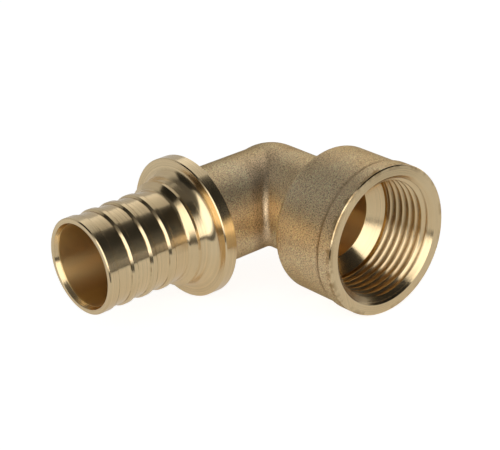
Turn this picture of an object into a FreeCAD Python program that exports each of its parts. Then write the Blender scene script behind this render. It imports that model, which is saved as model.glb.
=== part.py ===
"""Female threaded pex elbow: one brass forging, turned and bored.

A forged elbow joins two legs at a right angle. One leg opens into a wide
socket for a male pipe thread. The other is turned into a ridged tail that the
plastic tube is pushed over, behind a collar that stops the sliding sleeve.

Millimetres, +Z up. The origin is the centre of the threaded mouth's face, the
socket's axis is Y and opens towards +Y, and the tail points along +X.
Sketch coordinates start from the point where the two axes cross.
"""

import FreeCAD
import Part
import math
import os
import Sketcher

DRIVING_SIZES = [
    # The waterway, drilled from both ends.
    ("waterway_dia", 17.2),
    ("drill_point", 118.0),
    ("bore_past_axis", 2.8),
    # The forged elbow, its neck behind the collar and the crotch between the legs.
    ("elbow_wall", 2.05),
    ("neck_step", 0.2),
    ("crotch_round", 1.4),
    # The pipe thread: its bore is cut to the roots, and the crests end at the minor diameter.
    ("thread_major_dia", 26.44),
    ("thread_height", 1.16),
    ("thread_depth", 12.7),
    ("entry_chamfer", 0.45),
    # The forged socket round the thread.
    ("shoulder_clear", 8.15),
    ("socket_floor", 3.7),
    ("socket_wall", 2.28),
    ("shoulder_slope", 1.0),
    ("shoulder_foot", 0.9),
    ("shoulder_round", 1.0),
    ("rim_height", 0.35),
    ("rim_width", 3.7),
    ("rim_slope", 0.35),
    # The collar that the sleeve closes on.
    ("collar_clear", 11.65),
    ("collar_width", 2.9),
    ("collar_dia", 29.8),
    ("edge_break", 0.2),
    # The hub in front of the collar and its narrow bead.
    ("hub_flare", 0.52),
    ("hub_hollow", 1.1),
    ("bead_gap", 3.4),
    ("bead_lip", 0.3),
    ("bead_width", 0.7),
    ("bead_height", 1.4),
    ("bead_ramp", 1.05),
    # The ridged tail that grips the tube.
    ("tail_wall", 1.15),
    ("seat_length", 3.75),
    ("ridge_height", 0.4),
    ("ridge_pitch", 4.7),
    ("ridge_top", 1.0),
    ("ridge_ramp", 0.5),
    ("tip_height", 0.35),
    ("tip_land", 2.2),
    ("mouth_flare", 0.46),
    ("mouth_depth", 1.07),
]
RIDGE_COUNT = 3

# Places along each leg and radii, each from the sizes before it.
DERIVED_SIZES = [
    ("bore_radius", "waterway_dia / 2"),
    ("point_slope", "tan((drill_point / 2) * 1 deg)"),
    ("bore_tip", "bore_past_axis + bore_radius / point_slope"),
    ("elbow_radius", "bore_radius + elbow_wall"),
    ("neck_radius", "elbow_radius - neck_step"),
    ("root_radius", "thread_major_dia / 2"),
    ("crest_radius", "root_radius - thread_height"),
    ("entry_radius", "root_radius + entry_chamfer"),
    ("socket_radius", "root_radius + socket_wall"),
    ("rim_radius", "socket_radius + rim_height"),
    ("shoulder_at", "neck_radius + shoulder_clear"),
    ("thread_end", "shoulder_at + socket_floor"),
    ("centre_to_face", "thread_end + thread_depth"),
    ("rim_at", "centre_to_face - rim_width"),
    ("cone_foot", "thread_end - (crest_radius - bore_radius) / point_slope"),
    ("collar_radius", "collar_dia / 2"),
    ("collar_at", "elbow_radius + collar_clear"),
    ("collar_front", "collar_at + collar_width"),
    ("tail_radius", "bore_radius + tail_wall"),
    ("ridge_radius", "tail_radius + ridge_height"),
    ("tip_radius", "tail_radius + tip_height"),
    ("bead_radius", "tail_radius + bead_height"),
    ("hub_radius", "bead_radius - bead_lip"),
    ("hub_foot_radius", "hub_radius + hub_flare"),
    ("bead_at", "collar_front + bead_gap"),
    ("bead_front", "bead_at + bead_width"),
    ("seat_start", "bead_front + bead_ramp"),
    ("first_ridge", "seat_start + seat_length"),
    ("tip_back", f"first_ridge + {RIDGE_COUNT} * ridge_pitch"),
    ("centre_to_tip", "tip_back + tip_land"),
    ("mouth_radius", "bore_radius + mouth_flare"),
]
SIZE_NAMES = [name for name, _ in DRIVING_SIZES + DERIVED_SIZES]

# How far the cutting outlines run out of the mouths that they open.
RUN_OUT = 1.0

QUARTER_TURN = math.pi / 2


def make_sheet(doc):
    """Fill the sheet with the driving sizes and what follows from them."""
    sheet = doc.addObject("Spreadsheet::Sheet", "sizes")
    cells = [(alias, f"{value:g}") for alias, value in DRIVING_SIZES]
    cells += [(alias, f"={formula}") for alias, formula in DERIVED_SIZES]
    for row, (alias, content) in enumerate(cells, start=1):
        sheet.set(f"A{row}", alias)
        sheet.set(f"B{row}", content)
        sheet.setAlias(f"B{row}", alias)
    doc.recompute()


def in_sheet(formula):
    """Return the formula with every alias, marked by a dollar, read from the sheet."""
    for alias in sorted(SIZE_NAMES, key=len, reverse=True):
        formula = formula.replace(f"${alias}", f"<<sizes>>.{alias}")
    return formula


def origin_feature(body, role):
    """Return the body's own origin plane or axis with that role."""
    for feature in body.Origin.OriginFeatures:
        if feature.Role == role:
            return feature
    raise ValueError(role)


class Outline:
    """A closed sketch outline whose corners are bound to the sheet."""

    def __init__(self, body, name):
        self.sketch = body.newObject("Sketcher::SketchObject", name)
        self.sketch.AttachmentSupport = (origin_feature(body, "XY_Plane"), [""])
        self.sketch.MapMode = "FlatFace"
        self.corners = []

    def value(self, formula):
        """Return the number that a formula gives now."""
        return float(self.sketch.evalExpression(in_sheet(formula)))

    def corner(self, x, y, held="xy", rounding=None):
        """Add a corner at two formulas, with the coordinates to hold and any rounding."""
        self.corners.append((x, y, held, rounding))

    def join(self, kind, line, end, after, start):
        """Join the end of a line to the start of what follows it."""
        self.sketch.addConstraint(Sketcher.Constraint(kind, line, end, after, start))

    def bind(self, element, corner):
        """Hold the start of a line, or a point, at a corner."""
        x, y, held, _ = corner
        for letter, kind, axis, formula in (("x", "DistanceX", -2, x), ("y", "DistanceY", -1, y)):
            if letter not in held:
                continue
            if formula == "0":
                rule = Sketcher.Constraint("PointOnObject", element, 1, axis)
                self.sketch.addConstraint(rule)
                continue
            rule = Sketcher.Constraint(kind, -1, 1, element, 1, self.value(formula))
            index = self.sketch.addConstraint(rule)
            self.sketch.setExpression(f"Constraints[{index}]", in_sheet(formula))

    def rounded(self, before, at, after, rounding):
        """Draw the arc that rounds a corner, and return it with its two ends' places."""
        radius = self.value(rounding)
        back = (before - at).normalize()
        ahead = (after - at).normalize()
        half = back.getAngle(ahead) / 2
        first = at + back * (radius / math.tan(half))
        last = at + ahead * (radius / math.tan(half))
        centre = at + (back + ahead).normalize() * (radius / math.sin(half))
        middle = centre + (at - centre).normalize() * radius
        arc = self.sketch.addGeometry(Part.Arc(first, middle, last))
        index = self.sketch.addConstraint(Sketcher.Constraint("Radius", arc, radius))
        self.sketch.setExpression(f"Constraints[{index}]", in_sheet(rounding))
        turns_left = (at - before).cross(after - at).z > 0
        ends = (1, 2) if turns_left else (2, 1)
        return arc, ends, first, last

    def close(self, heel_radius=None):
        """Draw the outline in lines and arcs, starting with an arc about the crossing if asked."""
        sketch = self.sketch
        places = [FreeCAD.Vector(self.value(c[0]), self.value(c[1]), 0) for c in self.corners]
        count = len(places)
        arcs = {}
        for index, (_, _, _, rounding) in enumerate(self.corners):
            if rounding:
                before = places[index - 1]
                after = places[(index + 1) % count]
                arcs[index] = self.rounded(before, places[index], after, rounding)
        lines = []
        for index in range(count):
            following = (index + 1) % count
            start = arcs[index][3] if index in arcs else places[index]
            end = arcs[following][2] if following in arcs else places[following]
            if index == 0 and heel_radius:
                circle = Part.Circle(FreeCAD.Vector(), FreeCAD.Vector(0, 0, 1), self.value(heel_radius))
                lines.append(sketch.addGeometry(Part.ArcOfCircle(circle, -QUARTER_TURN, 0)))
                self.join("Coincident", lines[0], 3, -1, 1)
            else:
                lines.append(sketch.addGeometry(Part.LineSegment(start, end)))
        for index in range(count):
            before = lines[index - 1]
            if index in arcs:
                arc, (first_end, last_end), _, _ = arcs[index]
                self.join("Tangent", before, 2, arc, first_end)
                self.join("Tangent", arc, last_end, lines[index], 1)
                point = sketch.addGeometry(Part.Point(places[index]), True)
                for line in (before, lines[index]):
                    sketch.addConstraint(Sketcher.Constraint("PointOnObject", point, 1, line))
                self.bind(point, self.corners[index])
            else:
                self.join("Coincident", before, 2, lines[index], 1)
                self.bind(lines[index], self.corners[index])
        return sketch


def socket_outline(body):
    """Forged outside of the socket leg: ball heel, leg, shoulder, socket and rim."""
    outline = Outline(body, "socket_outline")
    outline.corner("0", "-$elbow_radius")
    outline.corner("$elbow_radius", "0", held="y")
    outline.corner("$elbow_radius", "$shoulder_at - $shoulder_slope - $shoulder_foot")
    outline.corner("$elbow_radius + $shoulder_foot", "$shoulder_at - $shoulder_slope")
    outline.corner("$socket_radius", "$shoulder_at", rounding="$shoulder_round")
    outline.corner("$socket_radius", "$rim_at")
    outline.corner("$rim_radius", "$rim_at + $rim_slope")
    outline.corner("$rim_radius", "$centre_to_face - $edge_break")
    outline.corner("$rim_radius - $edge_break", "$centre_to_face")
    outline.corner("0", "$centre_to_face")
    return outline.close(heel_radius="$elbow_radius")


def tail_outline(body):
    """Turned outside of the other leg: neck, collar, hub, bead and ridged tail."""
    outline = Outline(body, "tail_outline")
    outline.corner("0", "0")
    outline.corner("0", "$neck_radius")
    outline.corner("$collar_at", "$neck_radius")
    outline.corner("$collar_at", "$collar_radius - $edge_break")
    outline.corner("$collar_at + $edge_break", "$collar_radius")
    outline.corner("$collar_front - $edge_break", "$collar_radius")
    outline.corner("$collar_front", "$collar_radius - $edge_break")
    outline.corner("$collar_front", "$hub_foot_radius + $hub_hollow")
    outline.corner("$collar_front + $hub_hollow", "$hub_foot_radius")
    outline.corner("$bead_at", "$hub_radius")
    outline.corner("$bead_at", "$bead_radius")
    outline.corner("$bead_front", "$bead_radius")
    outline.corner("$seat_start", "$tail_radius")
    for number in range(RIDGE_COUNT):
        back = f"$first_ridge + {number} * $ridge_pitch"
        outline.corner(back, "$tail_radius")
        outline.corner(back, "$ridge_radius")
        outline.corner(f"{back} + $ridge_top", "$ridge_radius")
        outline.corner(f"{back} + $ridge_top + $ridge_ramp", "$tail_radius")
    outline.corner("$tip_back", "$tail_radius")
    outline.corner("$tip_back", "$tip_radius")
    outline.corner("$centre_to_tip - $edge_break", "$tip_radius")
    outline.corner("$centre_to_tip", "$tip_radius - $edge_break")
    outline.corner("$centre_to_tip", "0")
    return outline.close()


def socket_bore_outline(body):
    """Bore of the socket leg, up to the thread's roots, with its drilled bottom."""
    outline = Outline(body, "socket_bore_outline")
    outline.corner("0", "-$bore_tip")
    outline.corner("$bore_radius", "-$bore_past_axis")
    outline.corner("$bore_radius", "$cone_foot")
    outline.corner("$crest_radius", "$thread_end")
    outline.corner("$root_radius", "$thread_end")
    outline.corner("$root_radius", "$centre_to_face - $entry_chamfer")
    outline.corner("$entry_radius", "$centre_to_face")
    outline.corner("$entry_radius", f"$centre_to_face + {RUN_OUT}")
    outline.corner("0", f"$centre_to_face + {RUN_OUT}")
    return outline.close()


def tail_bore_outline(body):
    """Bore of the tail, with its drilled bottom and its flared mouth."""
    outline = Outline(body, "tail_bore_outline")
    outline.corner("-$bore_tip", "0")
    outline.corner("-$bore_past_axis", "$bore_radius")
    outline.corner("$centre_to_tip - $mouth_depth", "$bore_radius")
    outline.corner("$centre_to_tip", "$mouth_radius")
    outline.corner(f"$centre_to_tip + {RUN_OUT}", "$mouth_radius")
    outline.corner(f"$centre_to_tip + {RUN_OUT}", "0")
    return outline.close()


def revolve(body, kind, name, sketch, axis):
    """Turn a sketch all the way round one of its own axes."""
    feature = body.newObject(kind, name)
    feature.Profile = sketch
    feature.ReferenceAxis = (sketch, [axis])
    feature.Angle = 360.0
    body.Document.recompute()
    return feature


def leg_of(face):
    """Tell which leg a face was turned with: "tail", "socket", or neither."""
    surface = face.Surface
    if isinstance(surface, Part.Sphere):
        return "socket"
    if isinstance(surface, (Part.Cone, Part.Cylinder)):
        return "tail" if abs(surface.Axis.x) > abs(surface.Axis.y) else "socket"
    return None


def crotch_edges(shape):
    """Return the names of the edges of the loop where the neck leaves the elbow."""
    names = []
    for number, edge in enumerate(shape.Edges, start=1):
        if edge.Degenerated:
            continue
        legs = [leg_of(face) for face in shape.ancestorsOfType(edge, Part.Face)]
        if sorted(legs, key=str) == ["socket", "tail"]:
            names.append(f"Edge{number}")
    return names


def add_legs(body):
    """Forge the socket leg, turn the tail leg, and round the loop where they meet."""
    revolve(body, "PartDesign::Revolution", "socket_leg", socket_outline(body), "V_Axis")
    tail = revolve(body, "PartDesign::Revolution", "tail_leg", tail_outline(body), "H_Axis")
    loop = crotch_edges(tail.Shape)
    if not loop:
        raise ValueError("the legs don't meet in a loop")
    fillet = body.newObject("PartDesign::Fillet", "crotch_blend")
    fillet.Base = (tail, loop)
    fillet.setExpression("Radius", in_sheet("$crotch_round"))
    body.Document.recompute()


def add_bores(body):
    """Bore both legs, each cut proved by the metal that it takes away."""
    for name, outline, axis in (
        ("socket_bore", socket_bore_outline, "V_Axis"),
        ("tail_bore", tail_bore_outline, "H_Axis"),
    ):
        before = body.Shape.Volume
        revolve(body, "PartDesign::Groove", name, outline(body), axis)
        if not body.Shape.Volume < before:
            raise ValueError(f"{name} cut nothing")


def build_elbow(doc):
    """Build the whole fitting as one body and return it."""
    body = doc.addObject("PartDesign::Body", "elbow_body")
    body.Label = "elbow_body"
    body.setExpression("Placement.Base.y", in_sheet("-$centre_to_face"))
    add_legs(body)
    add_bores(body)
    return body


def check(doc, body):
    """Raise an error if any object failed or the part isn't one sound solid."""
    for item in doc.Objects:
        if "Invalid" in item.State or "Error" in item.State:
            raise ValueError(f"{item.Name} failed")
    shape = body.Shape
    if shape.isNull() or not shape.isValid() or len(shape.Solids) != 1:
        raise ValueError(f"{body.Label} is not one sound solid")


def main():
    """Make the document, check it and write the part."""
    doc = FreeCAD.newDocument("female_threaded_pex_elbow")
    make_sheet(doc)
    body = build_elbow(doc)
    check(doc, body)
    os.makedirs("parts", exist_ok=True)
    body.Shape.exportStep(f"parts/{body.Label}.step")
    print(f"{body.Label}: {body.Shape.Volume:.1f} mm3, {body.Shape.BoundBox}")


main()
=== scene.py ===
"""Looks of the female threaded pex elbow: blasted and turned brass on a white table.

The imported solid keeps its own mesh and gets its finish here. The pipe thread and the
soft hollows at the feet of its steps are modelled as pieces that sit in its corners.
Lengths of the fitting are millimetres, and places along a leg start at the crossing
of the two axes, as in the drawing of the part. Lengths of the studio are metres.
"""

import logging
import math
from dataclasses import dataclass, field, replace
from enum import Enum
from typing import Optional, Union

import bpy
from mathutils import Euler, Matrix, Vector

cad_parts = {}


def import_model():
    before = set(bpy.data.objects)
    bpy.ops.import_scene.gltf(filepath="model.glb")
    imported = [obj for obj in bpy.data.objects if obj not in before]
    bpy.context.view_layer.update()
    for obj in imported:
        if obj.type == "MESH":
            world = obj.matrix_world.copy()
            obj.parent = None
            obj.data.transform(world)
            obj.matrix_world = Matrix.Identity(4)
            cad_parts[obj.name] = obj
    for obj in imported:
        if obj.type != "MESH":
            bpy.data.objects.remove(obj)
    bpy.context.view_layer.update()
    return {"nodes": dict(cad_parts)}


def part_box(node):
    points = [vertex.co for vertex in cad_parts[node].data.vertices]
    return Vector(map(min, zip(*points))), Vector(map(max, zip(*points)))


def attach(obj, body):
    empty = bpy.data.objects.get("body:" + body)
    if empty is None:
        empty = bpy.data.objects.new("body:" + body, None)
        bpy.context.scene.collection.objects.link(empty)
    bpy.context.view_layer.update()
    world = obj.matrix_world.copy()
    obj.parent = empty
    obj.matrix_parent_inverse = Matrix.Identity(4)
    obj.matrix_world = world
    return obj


log = logging.getLogger("elbow")

MM = 0.001
FULL_TURN = 2 * math.pi
QUARTER_TURN = math.pi / 2
ACROSS_THE_TURNING = 0.25
ROUND_STEPS = 160
SMOOTH_ANGLE = math.radians(32)
MERGE_DISTANCE = 0.00002
OUTLINE_MERGE_DISTANCE = 0.000002
WHITE = (1.0, 1.0, 1.0, 1.0)
PATCH_SIZE = 9.0909

Point = tuple[float, float]
Color = tuple[float, float, float, float]
Socket = bpy.types.NodeSocket
Value = Union[Socket, float]
Tone = Union[Socket, Color]
Inputs = dict[Union[str, int], object]


class Leg(Enum):
    """Leg of the fitting, by the direction of its axis."""

    SOCKET = (0.0, 1.0, 0.0)
    TAIL = (1.0, 0.0, 0.0)


class Region(Enum):
    """How a piece of the fitting was made, which decides its finish."""

    WHOLE = "whole"
    TURNED = "turned"


class Output(Enum):
    """What a node tree ends in."""

    MATERIAL = "ShaderNodeOutputMaterial"
    WORLD = "ShaderNodeOutputWorld"


# Modelling by hand


def start_fresh() -> None:
    """Leave edit mode and deselect everything before a new piece is begun."""
    if bpy.context.object and bpy.context.object.mode != "OBJECT":
        bpy.ops.object.mode_set(mode="OBJECT")
    bpy.ops.object.select_all(action="DESELECT")


def draw_outline(name: str, corners: list[Vector]) -> bpy.types.Object:
    """Draw a closed outline by pulling one corner out of the one before it.

    Args:
        name: Name of the new object.
        corners: Corners of the outline in metres, in order.

    Returns:
        The object, in edit mode, with its outline selected.
    """
    start_fresh()
    bpy.ops.mesh.primitive_plane_add(size=MM)
    outline = bpy.context.object
    outline.name = outline.data.name = name
    bpy.ops.object.mode_set(mode="EDIT")
    bpy.ops.mesh.merge(type="CENTER")
    bpy.ops.transform.translate(value=corners[0])
    for before, after in zip(corners, corners[1:] + corners[:1]):
        bpy.ops.mesh.extrude_region_move(TRANSFORM_OT_translate={"value": after - before})
    bpy.ops.mesh.select_all(action="SELECT")
    bpy.ops.mesh.remove_doubles(threshold=OUTLINE_MERGE_DISTANCE)
    return outline


def close_up(piece: bpy.types.Object) -> bpy.types.Object:
    """Merge a piece's doubles, turn its faces outwards and smooth it by angle.

    Args:
        piece: The object, in edit mode.

    Returns:
        The same object, in object mode.
    """
    bpy.ops.mesh.select_all(action="SELECT")
    bpy.ops.mesh.remove_doubles(threshold=MERGE_DISTANCE)
    bpy.ops.mesh.normals_make_consistent(inside=False)
    bpy.ops.object.mode_set(mode="OBJECT")
    bpy.ops.object.shade_smooth_by_angle(angle=SMOOTH_ANGLE)
    return piece


def dress(piece: bpy.types.Object, brass: bpy.types.Material) -> None:
    """Give a piece its finish and report it.

    Args:
        piece: The piece, in object mode.
        brass: Its finish.
    """
    piece.data.materials.clear()
    piece.data.materials.append(brass)
    log.info("%s: %d faces", piece.name, len(piece.data.polygons))


@dataclass(frozen=True)
class Axes:
    """Where the legs of the fitting lie in the frame."""

    crossing: Vector

    def place(self, leg: Leg, along: float, radius: float) -> Vector:
        """Work out a point of a leg's section.

        Args:
            leg: The leg whose section it is.
            along: Distance from the crossing along the leg, in millimetres.
            radius: Distance from the leg's axis, in millimetres.

        Returns:
            The point, in metres.
        """
        across = Leg.TAIL if leg is Leg.SOCKET else Leg.SOCKET
        return self.crossing + (Vector(leg.value) * along + Vector(across.value) * radius) * MM

    def turn(self, name: str, leg: Leg, section: list[Point]) -> bpy.types.Object:
        """Turn a section all the way round a leg.

        Args:
            name: Name of the new piece.
            leg: The leg to turn it round.
            section: Corners as distance along the leg and radius, in millimetres.

        Returns:
            The closed ring, in object mode.
        """
        ring = draw_outline(name, [self.place(leg, along, radius) for along, radius in section])
        bpy.ops.mesh.spin(
            steps=ROUND_STEPS, angle=FULL_TURN, center=self.crossing, axis=leg.value
        )
        return close_up(ring)


# Finishes


class Shader:
    """Node tree of a material or of the room, with short calls that add and join nodes."""

    def __init__(
        self,
        owner: Union[bpy.types.Material, bpy.types.World],
        output: Output = Output.MATERIAL,
    ) -> None:
        """Empty the owner's tree and give it an output.

        Args:
            owner: The material or world whose tree it is.
            output: What the tree ends in.
        """
        owner.use_nodes = True
        self.tree = owner.node_tree
        self.tree.nodes.clear()
        self.output = self.node(output.value)

    def node(
        self,
        kind: str,
        inputs: Optional[Inputs] = None,
        **settings: object,
    ) -> bpy.types.Node:
        """Add a node.

        Args:
            kind: The kind of node.
            inputs: Values or sockets for its inputs, by name or number.
            **settings: Its own properties.

        Returns:
            The new node.
        """
        made = self.tree.nodes.new(kind)
        for key, value in settings.items():
            setattr(made, key, value)
        for key, value in (inputs or {}).items():
            if isinstance(value, Socket):
                self.tree.links.new(value, made.inputs[key])
            else:
                made.inputs[key].default_value = value
        return made

    def finish(self, surface: bpy.types.Node) -> None:
        """Join the last node to the output."""
        self.tree.links.new(surface.outputs[0], self.output.inputs["Surface"])

    def calculate(self, operation: str, *values: Value) -> Socket:
        """Return the result of a sum with numbers."""
        made = self.node("ShaderNodeMath", dict(enumerate(values)), operation=operation)
        return made.outputs[0]

    def vector(self, operation: str, *values: Union[Socket, Vector, tuple]) -> Socket:
        """Return the result of a sum with vectors."""
        made = self.node("ShaderNodeVectorMath", dict(enumerate(values)), operation=operation)
        return made.outputs[0]

    def scale(self, vector: Socket, factor: Value) -> Socket:
        """Return a vector or colour times a number."""
        inputs = {0: vector, "Scale": factor}
        return self.node("ShaderNodeVectorMath", inputs, operation="SCALE").outputs[0]

    def ramp(
        self, value: Value, low: float, high: float, to_low: Value = 0.0, to_high: Value = 1.0
    ) -> Socket:
        """Carry a value from one range to another and hold it inside that.

        Args:
            value: The value.
            low: Start of its own range.
            high: End of its own range.
            to_low: Start of the new range.
            to_high: End of the new range.

        Returns:
            The new value.
        """
        inputs = {
            "Value": value,
            "From Min": low,
            "From Max": high,
            "To Min": to_low,
            "To Max": to_high,
        }
        return self.node("ShaderNodeMapRange", inputs, clamp=True).outputs[0]

    def blend(self, amount: Value, first: Value, second: Value) -> Socket:
        """Return a mix of two numbers by an amount."""
        inputs = {0: amount, 2: first, 3: second}
        return self.node("ShaderNodeMix", inputs, data_type="FLOAT").outputs[0]

    def tint(self, amount: Value, first: Tone, second: Tone) -> Socket:
        """Return a mix of two colours or vectors by an amount."""
        inputs = {0: amount, 6: first, 7: second}
        return self.node("ShaderNodeMix", inputs, data_type="RGBA").outputs[2]

    def above(self, value: Value, limit: float) -> Socket:
        """Return 1 where a value is above a limit."""
        return self.calculate("GREATER_THAN", value, limit)

    def below(self, value: Value, limit: float) -> Socket:
        """Return 1 where a value is below a limit."""
        return self.calculate("LESS_THAN", value, limit)

    def times(self, first: Value, second: Value) -> Socket:
        """Return the product of two values, which for two marks is where both are 1."""
        return self.calculate("MULTIPLY", first, second)

    def most(self, first: Value, *others: Value) -> Socket:
        """Take the largest of some values, which for marks is where any is 1.

        Args:
            first: The first value.
            *others: The other values.

        Returns:
            The largest.
        """
        for other in others:
            first = self.calculate("MAXIMUM", first, other)
        return first

    def seen_by(self) -> tuple[Socket, Socket]:
        """Tell what sees a surface or the room.

        Returns:
            Sockets that are 1 for the camera, and for reflections in the metal.
        """
        rays = self.node("ShaderNodeLightPath").outputs
        mirrored = self.most(rays["Is Glossy Ray"], rays["Is Transmission Ray"])
        return rays["Is Camera Ray"], mirrored


@dataclass(frozen=True)
class Position:
    """How each point lies to the legs, in millimetres."""

    place: Socket
    turning: Socket
    rings: Socket
    along_tail: Socket
    along_socket: Socket
    off_tail: Socket
    off_socket: Socket
    off_crossing: Socket


@dataclass(frozen=True)
class Surface:
    """What a finish gives to the metal: colours, gloss, and the height of its texture."""

    color: Tone
    edge: Tone
    roughness: Value
    height: Socket
    stretch: Value = 0.0


@dataclass(frozen=True)
class Pattern:
    """Uneven pattern on the metal, its size in millimetres, used from low to high."""

    size: float
    low: float = 0.0
    high: float = 1.0
    detail: float = 2.0
    rough: float = 0.5

    def height(self, shader: Shader, place: Socket) -> Socket:
        """Work out the pattern itself.

        Args:
            shader: The material's nodes.
            place: Where it is read.

        Returns:
            Its height, from 0 to 1.
        """
        inputs = {
            "Vector": place,
            "Scale": 1 / self.size,
            "Detail": self.detail,
            "Roughness": self.rough,
        }
        return shader.node("ShaderNodeTexNoise", inputs).outputs["Fac"]

    def carry(
        self, shader: Shader, height: Socket, least: float = 0.0, most: float = 1.0
    ) -> Socket:
        """Return the pattern's own range of heights carried to another range."""
        return shader.ramp(height, self.low, self.high, least, most)

    def spread(
        self, shader: Shader, place: Socket, least: float = 0.0, most: float = 1.0
    ) -> Socket:
        """Return the pattern read at a place and carried to a range."""
        return self.carry(shader, self.height(shader, place), least, most)


@dataclass(frozen=True)
class Blasted:
    """Skin of the forging after shot blasting: matt, pale, with a fine grain."""

    color: Color = (0.92, 0.70, 0.45, 1)
    shade: Color = (0.84, 0.61, 0.36, 1)
    edge: Color = (0.28, 0.24, 0.19, 1)
    roughness: float = 0.40
    patches: Pattern = Pattern(size=PATCH_SIZE, low=0.3, high=0.7)
    grain: Pattern = Pattern(size=0.22, low=0.35, high=0.65, rough=0.6)
    grain_height: float = 0.070
    speckle: float = 0.50

    def surface(self, shader: Shader, at: Position) -> Surface:
        """Lay the grain and the paler and darker patches.

        Args:
            shader: The material's nodes.
            at: How each point lies to the legs.

        Returns:
            The skin's surface.
        """
        grain = self.grain.height(shader, at.place)
        pits = self.grain.carry(shader, grain, 1.0 - self.speckle, 1.0 + self.speckle)
        color = shader.tint(self.patches.spread(shader, at.place), self.color, self.shade)
        return Surface(
            color=shader.scale(color, pits),
            edge=self.edge,
            roughness=self.roughness,
            height=shader.times(grain, self.grain_height * MM),
        )


@dataclass(frozen=True)
class Turned:
    """Metal bright from the cutting tool: glossy, golden, with fine rings."""

    color: Color = (0.84, 0.66, 0.395, 1)
    shade: Color = (0.80, 0.61, 0.350, 1)
    edge: Color = WHITE
    roughness: float = 0.19
    thread_roughness: float = 0.24
    stretch: float = 0.85
    patches: Pattern = Pattern(size=PATCH_SIZE, low=0.35, high=0.65)
    rings: Pattern = Pattern(size=0.30, detail=1.0)
    ring_height: float = 0.016
    streaks: Pattern = Pattern(size=0.36, low=0.35, high=0.65)
    streak: float = 0.07

    def surface(self, shader: Shader, at: Position) -> Surface:
        """Lay the rings and streaks that follow the tool.

        Args:
            shader: The material's nodes.
            at: How each point lies to the legs.

        Returns:
            The turned metal's surface.
        """
        streaks = self.streaks.spread(shader, at.rings, 1.0 - self.streak, 1.0 + self.streak)
        color = shader.tint(self.patches.spread(shader, at.place), self.color, self.shade)
        rings = self.rings.height(shader, at.rings)
        return Surface(
            color=shader.scale(color, streaks),
            edge=self.edge,
            roughness=self.roughness,
            height=shader.times(rings, self.ring_height * MM),
            stretch=self.stretch,
        )


@dataclass(frozen=True)
class Drilled:
    """Wall of the waterway: duller than the turned metal, and a deep golden brown."""

    color: Color = (0.90, 0.65, 0.30, 1)
    roughness: float = 0.36


@dataclass(frozen=True)
class RidgeDarkening:
    """Darker brown in patches along the corners of the tail's ridges, in millimetres."""

    first: float = 34.1
    pitch: float = 4.7
    end: float = 48.6
    back_reach: float = 0.12
    ramp: float = 1.50
    ramp_reach: float = 0.11
    patches: Pattern = Pattern(size=2.0, low=0.4, high=0.6)
    least: float = 0.05
    most: float = 0.85

    def mark(self, shader: Shader, at: Position) -> Socket:
        """Mark the back and the ramp of each ridge.

        Args:
            shader: The material's nodes.
            at: How each point lies to the legs.

        Returns:
            A socket between `self.least` and `self.most` in the corners, and 0 elsewhere.
        """
        start = self.first - self.back_reach
        along = shader.calculate("SUBTRACT", at.along_tail, start)
        phase = shader.calculate("FLOORED_MODULO", along, self.pitch)
        back = shader.calculate("COMPARE", phase, self.back_reach, self.back_reach)
        ramp = shader.calculate("COMPARE", phase, self.back_reach + self.ramp, self.ramp_reach)
        middle = (start + self.end) / 2
        half_length = (self.end - start) / 2
        inside = shader.calculate("COMPARE", at.along_tail, middle, half_length)
        corners = shader.times(shader.most(back, ramp), inside)
        return shader.times(
            corners, self.patches.spread(shader, at.place, self.least, self.most)
        )


@dataclass(frozen=True)
class MouthTarnish:
    """Tarnish in patches on the outer edge of the threaded mouth, in millimetres."""

    radius: float = 14.7
    width: float = 1.0
    depth: float = 1.1
    patches: Pattern = Pattern(size=2.6, low=0.47, high=0.60, detail=4.0, rough=0.65)
    most: float = 0.8

    def mark(self, shader: Shader, at: Position, face: float) -> Socket:
        """Mark the patches.

        Args:
            shader: The material's nodes.
            at: How each point lies to the legs.
            face: Place of the threaded face along its leg.

        Returns:
            A socket that rises to `self.most` in the patches.
        """
        outer = shader.ramp(at.off_socket, self.radius, self.radius + self.width)
        near = shader.above(at.along_socket, face - self.depth)
        patches = self.patches.spread(shader, at.place, 0.0, self.most)
        return shader.times(shader.times(outer, near), patches)


@dataclass(frozen=True)
class PaintedCornerShade:
    """Painted shade in an inner corner of the forging: the skin's colour is darkened near it, in
    millimetres.
    """

    first: float
    second: float
    core: float
    reach: float
    tone: float

    def shade(self, shader: Shader, first: Socket, second: Socket) -> Socket:
        """Work out how much the painted shade darkens the skin near the corner.

        Args:
            shader: The material's nodes.
            first: Distance that is `self.first` in the corner.
            second: Distance that is `self.second` in the corner.

        Returns:
            A factor for the colour, 1 away from the corner.
        """
        sides = [
            shader.calculate("SUBTRACT", first, self.first),
            shader.calculate("SUBTRACT", second, self.second),
        ]
        squares = [shader.times(side, side) for side in sides]
        off = shader.calculate("SQRT", shader.calculate("ADD", *squares))
        return shader.ramp(off, self.core, self.reach, self.tone, 1.0)


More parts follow.
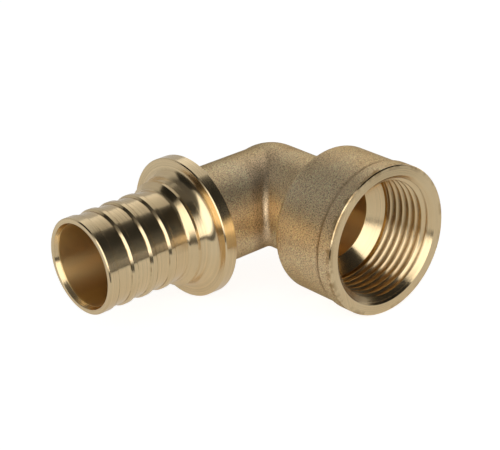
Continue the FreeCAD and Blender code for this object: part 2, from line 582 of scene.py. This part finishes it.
@dataclass(frozen=True)
class BrassFinish:
    """Brass of the fitting, blasted outside and turned at both ends and in its bores."""

    blasted: Blasted = Blasted()
    turned: Turned = Turned()
    drilled: Drilled = Drilled()
    dark_brown: Color = (0.42, 0.28, 0.13, 1)
    ridge_darkening: RidgeDarkening = RidgeDarkening()
    mouth_tarnish: MouthTarnish = MouthTarnish()
    # Painted shade that darkens the blasted skin near the shoulder's foot, the rim's foot and the
    # crotch.
    shoulder_painted_shade: PaintedCornerShade = PaintedCornerShade(first=17.37, second=10.65, core=0.5, reach=2.0, tone=0.50)
    rim_painted_shade: PaintedCornerShade = PaintedCornerShade(first=31.20, second=15.5, core=0.10, reach=0.90, tone=0.62)
    crotch_painted_shade: PaintedCornerShade = PaintedCornerShade(first=12.2, second=10.45, core=0.5, reach=2.4, tone=0.66)
    crotch_side: float = 5.0
    collar_back: float = 22.28
    bore_radius: float = 8.68
    ball_reach: float = 9.9
    thread_reach: float = 14.2
    thread_foot: float = 19.6
    mouth_depth: float = 0.22
    edge_softness: float = 0.10
    edge_samples: int = 6

    def measure(self, shader: Shader, axes: Axes) -> Position:
        """Work out how each point lies to the legs, and how the tool went over it.

        Args:
            shader: The material's nodes.
            axes: Where the legs lie.

        Returns:
            The position, with the direction in which the tool went round, and the
            place across its rings.
        """
        place = shader.node("ShaderNodeTexCoord").outputs["Object"]
        scaled = shader.scale(shader.vector("SUBTRACT", place, axes.crossing), 1 / MM)
        x, y, z = shader.node("ShaderNodeSeparateXYZ", {0: scaled}).outputs
        x_square, y_square, z_square = [shader.times(part, part) for part in (x, y, z)]
        off_socket = shader.calculate("SQRT", shader.calculate("ADD", x_square, z_square))
        off_tail = shader.calculate("SQRT", shader.calculate("ADD", y_square, z_square))
        in_tail = shader.above(x, self.bore_radius)
        ring = shader.blend(
            in_tail, shader.calculate("ADD", y, off_socket), shader.calculate("ADD", x, off_tail)
        )
        return Position(
            place=scaled,
            turning=shader.tint(
                in_tail,
                shader.vector("CROSS_PRODUCT", Leg.SOCKET.value, scaled),
                shader.vector("CROSS_PRODUCT", Leg.TAIL.value, scaled),
            ),
            rings=shader.node("ShaderNodeCombineXYZ", {0: ring}).outputs[0],
            along_tail=x,
            along_socket=y,
            off_tail=off_tail,
            off_socket=off_socket,
            off_crossing=shader.node(
                "ShaderNodeVectorMath", {0: scaled}, operation="LENGTH"
            ).outputs["Value"],
        )

    def turned_part(self, shader: Shader, at: Position, face: float) -> Socket:
        """Mark the turned metal: the tail with its collar, the face and the threaded bore.

        Args:
            shader: The material's nodes.
            at: How each point lies to the legs.
            face: Place of the threaded face along its leg, in millimetres.

        Returns:
            A socket that is 1 on the turned metal.
        """
        bore = shader.times(
            shader.below(at.off_socket, self.thread_reach),
            shader.above(at.along_socket, self.thread_foot),
        )
        tail = shader.above(at.along_tail, self.collar_back)
        mouth = shader.above(at.along_socket, face - self.mouth_depth)
        return shader.most(tail, mouth, bore)

    def drilled_part(self, shader: Shader, at: Position) -> Socket:
        """Mark the wall of the waterway.

        Args:
            shader: The material's nodes.
            at: How each point lies to the legs.

        Returns:
            A socket that is 1 on the drilled metal.
        """
        in_socket = shader.times(
            shader.below(at.off_socket, self.bore_radius), shader.above(at.along_socket, 0.0)
        )
        in_tail = shader.times(
            shader.below(at.off_tail, self.bore_radius), shader.above(at.along_tail, 0.0)
        )
        return shader.most(in_socket, in_tail, shader.below(at.off_crossing, self.ball_reach))

    def painted_corner_shade(self, shader: Shader, at: Position) -> Socket:
        """Paint shade into the skin's colour in the inner corners of the forging.

        Args:
            shader: The material's nodes.
            at: How each point lies to the legs.

        Returns:
            A factor for the skin's colour.
        """
        shoulder = self.shoulder_painted_shade.shade(shader, at.along_socket, at.off_socket)
        rim = self.rim_painted_shade.shade(shader, at.along_socket, at.off_socket)
        # Painted shade in the crotch, fading in along the first millimetres of the socket's leg.
        crotch_painted_shade = shader.blend(
            shader.ramp(at.along_socket, 0.0, self.crotch_side),
            1.0,
            self.crotch_painted_shade.shade(shader, at.off_socket, at.off_tail),
        )
        return shader.times(shader.times(shoulder, rim), crotch_painted_shade)

    def whole_surface(self, shader: Shader, at: Position, face: float) -> Surface:
        """Choose between the finishes by place.

        Args:
            shader: The material's nodes.
            at: How each point lies to the legs.
            face: Place of the threaded face along its leg, in millimetres.

        Returns:
            The surface of the solid.
        """
        blasted = self.blasted.surface(shader, at)
        turned = self.turned.surface(shader, at)
        on_turned = self.turned_part(shader, at, face)
        on_drilled = self.drilled_part(shader, at)
        cut = shader.most(on_turned, on_drilled)
        # The blasted skin's colour, darkened by the painted shade in the inner corners.
        skin = shader.scale(blasted.color, self.painted_corner_shade(shader, at))
        bright = shader.tint(self.ridge_darkening.mark(shader, at), turned.color, self.dark_brown)
        color = shader.tint(on_turned, skin, bright)
        color = shader.tint(self.mouth_tarnish.mark(shader, at, face), color, self.dark_brown)
        roughness = shader.blend(on_turned, blasted.roughness, turned.roughness)
        return Surface(
            color=shader.tint(on_drilled, color, self.drilled.color),
            edge=shader.tint(cut, blasted.edge, turned.edge),
            roughness=shader.blend(on_drilled, roughness, self.drilled.roughness),
            height=shader.blend(cut, blasted.height, turned.height),
            stretch=shader.times(cut, turned.stretch),
        )

    def thread_surface(self, shader: Shader, at: Position) -> Surface:
        """Return the surface of the thread, turned all over and a little duller."""
        return replace(self.turned.surface(shader, at), roughness=self.turned.thread_roughness)

    def make(self, name: str, region: Region, axes: Axes, face: float) -> bpy.types.Material:
        """Make the material for one kind of piece.

        Args:
            name: Name of the material.
            region: Whether it chooses between the finishes or is turned all over.
            axes: Where the legs lie.
            face: Place of the threaded face along its leg, in millimetres.

        Returns:
            The material.
        """
        material = bpy.data.materials.new(name)
        shader = Shader(material)
        at = self.measure(shader, axes)
        if region is Region.TURNED:
            surface = self.thread_surface(shader, at)
        else:
            surface = self.whole_surface(shader, at, face)
        softened = shader.node(
            "ShaderNodeBevel", {"Radius": self.edge_softness * MM}, samples=self.edge_samples
        )
        texture = shader.node(
            "ShaderNodeBump",
            {
                "Height": surface.height,
                "Distance": 1.0,
                "Strength": 1.0,
                "Normal": softened.outputs[0],
            },
        )
        metal = shader.node(
            "ShaderNodeBsdfPrincipled",
            {
                "Base Color": surface.color,
                "Metallic": 1.0,
                "Roughness": surface.roughness,
                "Specular Tint": surface.edge,
                "Anisotropic": surface.stretch,
                "Anisotropic Rotation": ACROSS_THE_TURNING,
                "Normal": texture.outputs[0],
                "Tangent": shader.vector("NORMALIZE", at.turning),
            },
        )
        shader.finish(metal)
        return material


# Pieces of the fitting


@dataclass
class Body:
    """The forged and turned solid of the fitting."""

    node: str = "elbow_body"
    centre_to_face: float = 35.0

    def axes(self) -> Axes:
        """Return the legs' axes, from the solid's own corners."""
        _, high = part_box(self.node)
        return Axes(Vector((0, high.y - self.centre_to_face * MM, 0)))


@dataclass
class CornerHollow:
    """Soft hollow that the tool or the die leaves in a corner of the section.

    The sides of the corner run from `corner` to `before` and to `after`.
    """

    name: str
    leg: Leg
    before: Point
    corner: Point
    after: Point
    radius: float
    depth: float = 0.15
    steps: int = 12

    def section(self) -> list[Point]:
        """Draw the hollow's section, an arc that touches both sides of the corner.

        Returns:
            Its corners, in order: the arc, and then the back, sunk into the solid.
        """
        corner = Vector(self.corner)
        back = (Vector(self.before) - corner).normalized()
        ahead = (Vector(self.after) - corner).normalized()
        half = back.angle(ahead) / 2
        first = corner + back * (self.radius / math.tan(half))
        last = corner + ahead * (self.radius / math.tan(half))
        bisector = (back + ahead).normalized()
        centre = corner + bisector * (self.radius / math.sin(half))
        start = first - centre
        swing = start.angle_signed(last - centre)
        arc = [
            centre + Matrix.Rotation(-swing * step / self.steps, 2) @ start
            for step in range(self.steps + 1)
        ]
        inward_back = -(bisector - back * bisector.dot(back)).normalized() * self.depth
        inward_ahead = -(bisector - ahead * bisector.dot(ahead)).normalized() * self.depth
        sunk = [last + inward_ahead, corner - bisector * self.depth, first + inward_back]
        return [tuple(point) for point in arc + sunk]

    def build(self, axes: Axes, brass: bpy.types.Material) -> bpy.types.Object:
        """Turn the hollow round its leg and dress it.

        Args:
            axes: Where the legs lie.
            brass: Its finish.

        Returns:
            The finished piece.
        """
        piece = axes.turn(self.name, self.leg, self.section())
        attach(piece, "root")
        dress(piece, brass)
        return piece


def hollows() -> list[CornerHollow]:
    """List the soft hollows of both legs.

    Returns:
        The hollows of the tail and its collar, and then those of the socket.
    """
    return [
        CornerHollow(
            name="hub_hollow",
            leg=Leg.TAIL,
            before=(25.2, 14.0),
            corner=(25.2, 11.619),
            after=(28.6, 10.85),
            radius=2.2,
        ),
        CornerHollow(
            name="seat_hollow",
            leg=Leg.TAIL,
            before=(29.3, 11.15),
            corner=(30.35, 9.75),
            after=(34.1, 9.75),
            radius=0.8,
        ),
        CornerHollow(
            name="collar_hollow",
            leg=Leg.TAIL,
            before=(15.0, 10.45),
            corner=(22.3, 10.45),
            after=(22.3, 14.0),
            radius=0.8,
        ),
        CornerHollow(
            name="shoulder_hollow",
            leg=Leg.SOCKET,
            before=(10.0, 10.65),
            corner=(17.372, 10.65),
            after=(18.6, 15.5),
            radius=2.0,
        ),
        CornerHollow(
            name="rim_hollow",
            leg=Leg.SOCKET,
            before=(28.0, 15.5),
            corner=(31.3, 15.5),
            after=(31.65, 15.85),
            radius=1.1,
        ),
    ]


@dataclass
class SocketThread:
    """Right-hand pipe thread, cut in a ring that lines the socket's bore."""

    name: str = "socket_thread"
    root_radius: float = 13.2
    height: float = 1.14
    pitch: float = 1.814
    rounding: float = 0.249
    flank_angle: float = 27.5
    start_along: float = 34.478
    foot: float = 22.28
    mouth: float = 34.53
    entry_radius: float = 13.67
    face: float = 35.0
    back_radius: float = 13.36
    overrun: float = 0.6
    spare_turns: int = 3
    arc_steps: int = 5

    def crest_radius(self) -> float:
        """Return the radius that the crests reach in to."""
        return self.root_radius - self.height

    def tooth(self) -> list[Point]:
        """Draw one pitch of the thread's form, from crest to crest, root in the middle.

        Crest and root are round, and the flank is the straight line that touches both.

        Returns:
            Points as distance along the axis and radius.
        """
        swing = QUARTER_TURN - math.radians(self.flank_angle)
        root_centre = self.root_radius - self.rounding
        crest_centre = self.crest_radius() + self.rounding
        crest = [
            (
                -self.pitch / 2 + self.rounding * math.sin(swing * step / self.arc_steps),
                crest_centre - self.rounding * math.cos(swing * step / self.arc_steps),
            )
            for step in range(self.arc_steps + 1)
        ]
        root = [
            (
                -self.rounding * math.sin(swing * step / self.arc_steps),
                root_centre + self.rounding * math.cos(swing * step / self.arc_steps),
            )
            for step in range(self.arc_steps, -1, -1)
        ]
        half = crest + root
        return half + [(-along, radius) for along, radius in reversed(half[1:-1])]

    def outline(self) -> list[Vector]:
        """Draw the section of a coil that is longer than the ring.

        Returns:
            Its corners in metres, with the coil's axis as Z.
        """
        turns = math.ceil((self.face - self.foot) / self.pitch) + self.spare_turns
        first = self.start_along - self.pitch * (turns - 1)
        outer = self.back_radius + self.overrun
        form = [
            (first + turn * self.pitch + along, radius)
            for turn in range(turns)
            for along, radius in self.tooth()
        ]
        form.append((first + (turns - 0.5) * self.pitch, self.crest_radius()))
        back = [(first + (turn - 0.5) * self.pitch, outer) for turn in range(turns, -1, -1)]
        return [Vector((radius, 0, along)) * MM for along, radius in form + back]

    def coil(self, axes: Axes) -> bpy.types.Object:
        """Wind the thread's form into a closed coil round the socket's axis.

        Args:
            axes: Where the legs lie.

        Returns:
            The coil, in object mode.
        """
        coil = draw_outline("thread_coil", self.outline())
        bpy.ops.object.mode_set(mode="OBJECT")
        bpy.ops.object.modifier_add(type="SCREW")
        screw = coil.modifiers[-1]
        screw.axis = "Z"
        screw.angle = FULL_TURN
        screw.screw_offset = self.pitch * MM
        screw.steps = screw.render_steps = ROUND_STEPS
        bpy.ops.object.modifier_apply(modifier=screw.name)
        bpy.ops.object.mode_set(mode="EDIT")
        bpy.ops.mesh.select_all(action="SELECT")
        bpy.ops.mesh.remove_doubles(threshold=MERGE_DISTANCE)
        bpy.ops.mesh.select_all(action="DESELECT")
        bpy.ops.mesh.select_non_manifold(
            extend=False,
            use_wire=False,
            use_boundary=True,
            use_multi_face=False,
            use_non_contiguous=False,
            use_verts=False,
        )
        bpy.ops.mesh.fill_holes(sides=0)
        close_up(coil)
        coil.rotation_euler = (-QUARTER_TURN, 0, 0)
        coil.location = axes.crossing
        bpy.ops.object.transform_apply(location=True, rotation=True, scale=True)
        return coil

    def blank(self, axes: Axes) -> bpy.types.Object:
        """Turn the plain ring that bounds the thread, with its entry chamfer.

        Args:
            axes: Where the legs lie.

        Returns:
            The ring, in object mode.
        """
        inner = self.crest_radius() - self.overrun
        to_face = self.face - self.entry_radius
        section = [
            (self.foot, inner),
            (inner + to_face, inner),
            (self.mouth, self.mouth - to_face),
            (self.mouth, self.back_radius),
            (self.foot, self.back_radius),
        ]
        return axes.turn(self.name, Leg.SOCKET, section)

    def build(self, axes: Axes, brass: bpy.types.Material) -> bpy.types.Object:
        """Cut the thread and dress it.

        Args:
            axes: Where the legs lie.
            brass: Its finish.

        Returns:
            The finished piece.
        """
        coil = self.coil(axes)
        ring = self.blank(axes)
        bpy.ops.object.modifier_add(type="BOOLEAN")
        cut = ring.modifiers[-1]
        cut.operation = "INTERSECT"
        cut.solver = "EXACT"
        cut.object = coil
        bpy.ops.object.modifier_apply(modifier=cut.name)
        bpy.data.objects.remove(coil)
        bpy.ops.object.mode_set(mode="EDIT")
        close_up(ring)
        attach(ring, "root")
        dress(ring, brass)
        return ring


# Studio


def direction(azimuth: float, elevation: float) -> Vector:
    """Work out a direction.

    Args:
        azimuth: Angle from +X in degrees.
        elevation: Angle above the table in degrees.

    Returns:
        The unit vector that points there.
    """
    turn = math.radians(azimuth)
    rise = math.radians(elevation)
    level = math.cos(rise)
    return Vector((math.cos(turn) * level, math.sin(turn) * level, math.sin(rise)))


@dataclass
class Table:
    """White table that the fitting lies on.

    Its two lifts are light of its own, for the camera and for reflections, so that
    it shows white and still holds the shadow of the fitting.
    """

    size: float = 6.0
    color: Color = (0.50, 0.50, 0.50, 1)
    roughness: float = 0.9
    lift: float = 0.80
    mirrored_lift: float = 0.34

    def build(self, height: float) -> bpy.types.Object:
        """Lay the table under the fitting.

        Args:
            height: Height of its top.

        Returns:
            The table.
        """
        start_fresh()
        bpy.ops.mesh.primitive_plane_add(size=self.size, location=(0, 0, height))
        table = bpy.context.object
        table.name = "table_top"
        material = bpy.data.materials.new("white_table")
        shader = Shader(material)
        camera, mirrored = shader.seen_by()
        lifts = [shader.times(camera, self.lift), shader.times(mirrored, self.mirrored_lift)]
        coat = {"Base Color": self.color, "Roughness": self.roughness}
        paint = shader.node("ShaderNodeBsdfPrincipled", coat)
        light = {"Color": WHITE, "Strength": shader.calculate("ADD", *lifts)}
        glow = shader.node("ShaderNodeEmission", light)
        both = shader.node("ShaderNodeAddShader", {0: paint.outputs[0], 1: glow.outputs[0]})
        shader.finish(both)
        table.data.materials.append(material)
        return table


@dataclass
class Softbox:
    """Broad soft lamp, placed by direction from the fitting."""

    name: str
    azimuth: float
    elevation: float
    distance: float
    width: float
    height: float
    radiance: float

    def build(self, aim: Vector) -> bpy.types.Object:
        """Hang the lamp and turn it to the fitting.

        Args:
            aim: The point that it faces.

        Returns:
            The lamp.
        """
        lamp = bpy.data.lights.new(self.name, "AREA")
        lamp.shape = "RECTANGLE"
        lamp.size = self.width
        lamp.size_y = self.height
        lamp.energy = self.radiance * math.pi * self.width * self.height
        holder = bpy.data.objects.new(self.name, lamp)
        bpy.context.scene.collection.objects.link(holder)
        away = direction(self.azimuth, self.elevation)
        holder.location = aim + away * self.distance
        holder.rotation_euler = away.to_track_quat("Z", "Y").to_euler()
        return holder


@dataclass
class Card:
    """Grey card that only reflections see."""

    name: str
    azimuth: float
    distance: float
    width: float
    height: float
    shade: float
    roughness: float = 1.0

    def put_up(self, place: Vector, rotation: Euler) -> bpy.types.Object:
        """Cut the card to size, put it in its place and let only reflections see it.

        Args:
            place: Its middle.
            rotation: How it is turned.

        Returns:
            The card.
        """
        start_fresh()
        bpy.ops.mesh.primitive_plane_add(size=1, location=place)
        card = bpy.context.object
        card.name = self.name
        card.rotation_euler = rotation
        card.scale = (self.width, self.height, 1)
        material = bpy.data.materials.new(self.name)
        shader = Shader(material)
        coat = {"Base Color": (self.shade,) * 3 + (1,), "Roughness": self.roughness}
        shader.finish(shader.node("ShaderNodeBsdfPrincipled", coat))
        card.data.materials.append(material)
        card.visible_camera = False
        card.visible_shadow = False
        card.visible_diffuse = False
        return card


@dataclass
class StandingCard(Card):
    """Card that stands beside the fitting and faces it."""

    elevation: float = 0.0

    def build(self, aim: Vector) -> bpy.types.Object:
        """Stand the card up and turn it to the fitting.

        Args:
            aim: The point that it faces.

        Returns:
            The card.
        """
        away = direction(self.azimuth, self.elevation)
        return self.put_up(aim + away * self.distance, away.to_track_quat("Z", "Y").to_euler())


@dataclass
class FloorCard(Card):
    """Card that lies on the table, out of the picture."""

    thickness: float = 0.0004

    def build(self, aim: Vector, table: float) -> bpy.types.Object:
        """Lay the card down.

        Args:
            aim: The point that it is placed from.
            table: Height of the table's top.

        Returns:
            The card.
        """
        spot = aim + direction(self.azimuth, 0) * self.distance
        spot.z = table + self.thickness
        return self.put_up(spot, Euler((0, 0, math.radians(self.azimuth) + QUARTER_TURN)))


@dataclass
class Room:
    """Pale room round the table: white to the camera, walls and ceiling in the metal."""

    white: float = 1.0
    walls: float = 0.48
    ceiling: float = 0.10
    wall_top: float = 0.52
    ceiling_edge: float = 0.80
    fill: float = 0.25

    def build(self) -> bpy.types.World:
        """Fill the room with light.

        Returns:
            The room.
        """
        world = bpy.data.worlds.new("pale_room")
        bpy.context.scene.world = world
        shader = Shader(world, Output.WORLD)
        camera, mirrored = shader.seen_by()
        around = shader.node("ShaderNodeTexCoord").outputs["Generated"]
        rise = shader.node("ShaderNodeSeparateXYZ", {0: around}).outputs["Z"]
        room = shader.ramp(rise, self.wall_top, self.ceiling_edge, self.walls, self.ceiling)
        unseen = shader.ramp(mirrored, 0.0, 1.0, self.fill, room)
        strength = shader.ramp(camera, 0.0, 1.0, unseen, self.white)
        shader.finish(shader.node("ShaderNodeBackground", {"Color": WHITE, "Strength": strength}))
        return world


@dataclass
class Studio:
    """Table, lamps, cards and the pale room round them."""

    aim: Vector = field(default_factory=lambda: Vector((0.020, -0.025, 0)))
    lamps: tuple[Softbox, ...] = (
        Softbox(
            name="front_softbox",
            azimuth=52,
            elevation=21,
            distance=0.65,
            width=1.70,
            height=0.66,
            radiance=1.30,
        ),
        Softbox(
            name="back_softbox",
            azimuth=203,
            elevation=27,
            distance=0.80,
            width=0.84,
            height=1.12,
            radiance=0.48,
        ),
    )
    cards: tuple[StandingCard, ...] = (
        StandingCard(
            name="left_card",
            azimuth=135,
            elevation=38,
            distance=0.45,
            width=0.54,
            height=0.56,
            shade=0.02,
        ),
        StandingCard(
            name="left_grey_card",
            azimuth=135,
            elevation=4,
            distance=0.46,
            width=0.54,
            height=0.10,
            shade=0.25,
        ),
        StandingCard(
            name="right_card",
            azimuth=-32,
            elevation=26,
            distance=0.45,
            width=0.26,
            height=0.48,
            shade=0.02,
        ),
    )
    floor_cards: tuple[FloorCard, ...] = (
        FloorCard(
            name="front_floor_card",
            azimuth=38,
            distance=0.105,
            width=0.42,
            height=0.09,
            shade=0.10,
        ),
        FloorCard(
            name="left_floor_card",
            azimuth=124,
            distance=0.260,
            width=0.28,
            height=0.29,
            shade=0.10,
        ),
    )

    def build(self, height: float) -> None:
        """Set the studio up.

        Args:
            height: Height of the table's top.
        """
        Table().build(height)
        for lamp in self.lamps:
            lamp.build(self.aim)
        for card in self.cards:
            card.build(self.aim)
        for card in self.floor_cards:
            card.build(self.aim, height)
        Room().build()


@dataclass
class PhotoCamera:
    """Camera fitted to the photograph."""

    place: Vector = field(default_factory=lambda: Vector((221.44, 223.88, 150.86)) * MM)
    aim: Vector = field(default_factory=lambda: Vector((5.64, -35.90, -6.25)) * MM)
    roll: float = -2.68
    lens: float = 125.31
    sensor_width: float = 36.0
    nearest: float = 0.01

    def build(self) -> bpy.types.Object:
        """Set the camera up and make it the scene's own.

        Returns:
            The camera.
        """
        data = bpy.data.cameras.new("photo_camera")
        data.lens = self.lens
        data.sensor_width = self.sensor_width
        data.clip_start = self.nearest
        holder = bpy.data.objects.new("photo_camera", data)
        bpy.context.scene.collection.objects.link(holder)
        look = (self.aim - self.place).to_track_quat("-Z", "Y").to_matrix()
        tilt = Matrix.Rotation(math.radians(self.roll), 3, "Z")
        holder.matrix_world = Matrix.Translation(self.place) @ (look @ tilt).to_4x4()
        bpy.context.scene.camera = holder
        return holder


def main() -> None:
    """Build the looks of the fitting and the studio round it."""
    logging.basicConfig(level=logging.INFO, format="%(name)s %(message)s")
    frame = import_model()
    body = Body()
    axes = body.axes()
    finish = BrassFinish()
    whole = finish.make("blasted_and_turned_brass", Region.WHOLE, axes, body.centre_to_face)
    turned = finish.make("turned_brass", Region.TURNED, axes, body.centre_to_face)
    dress(frame["nodes"][body.node], whole)
    SocketThread().build(axes, turned)
    for hollow in hollows():
        hollow.build(axes, whole)
    low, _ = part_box(body.node)
    Studio().build(low.z)
    PhotoCamera().build()
    bpy.context.scene.view_settings.view_transform = "Standard"


if __name__ == "__main__":
    main()
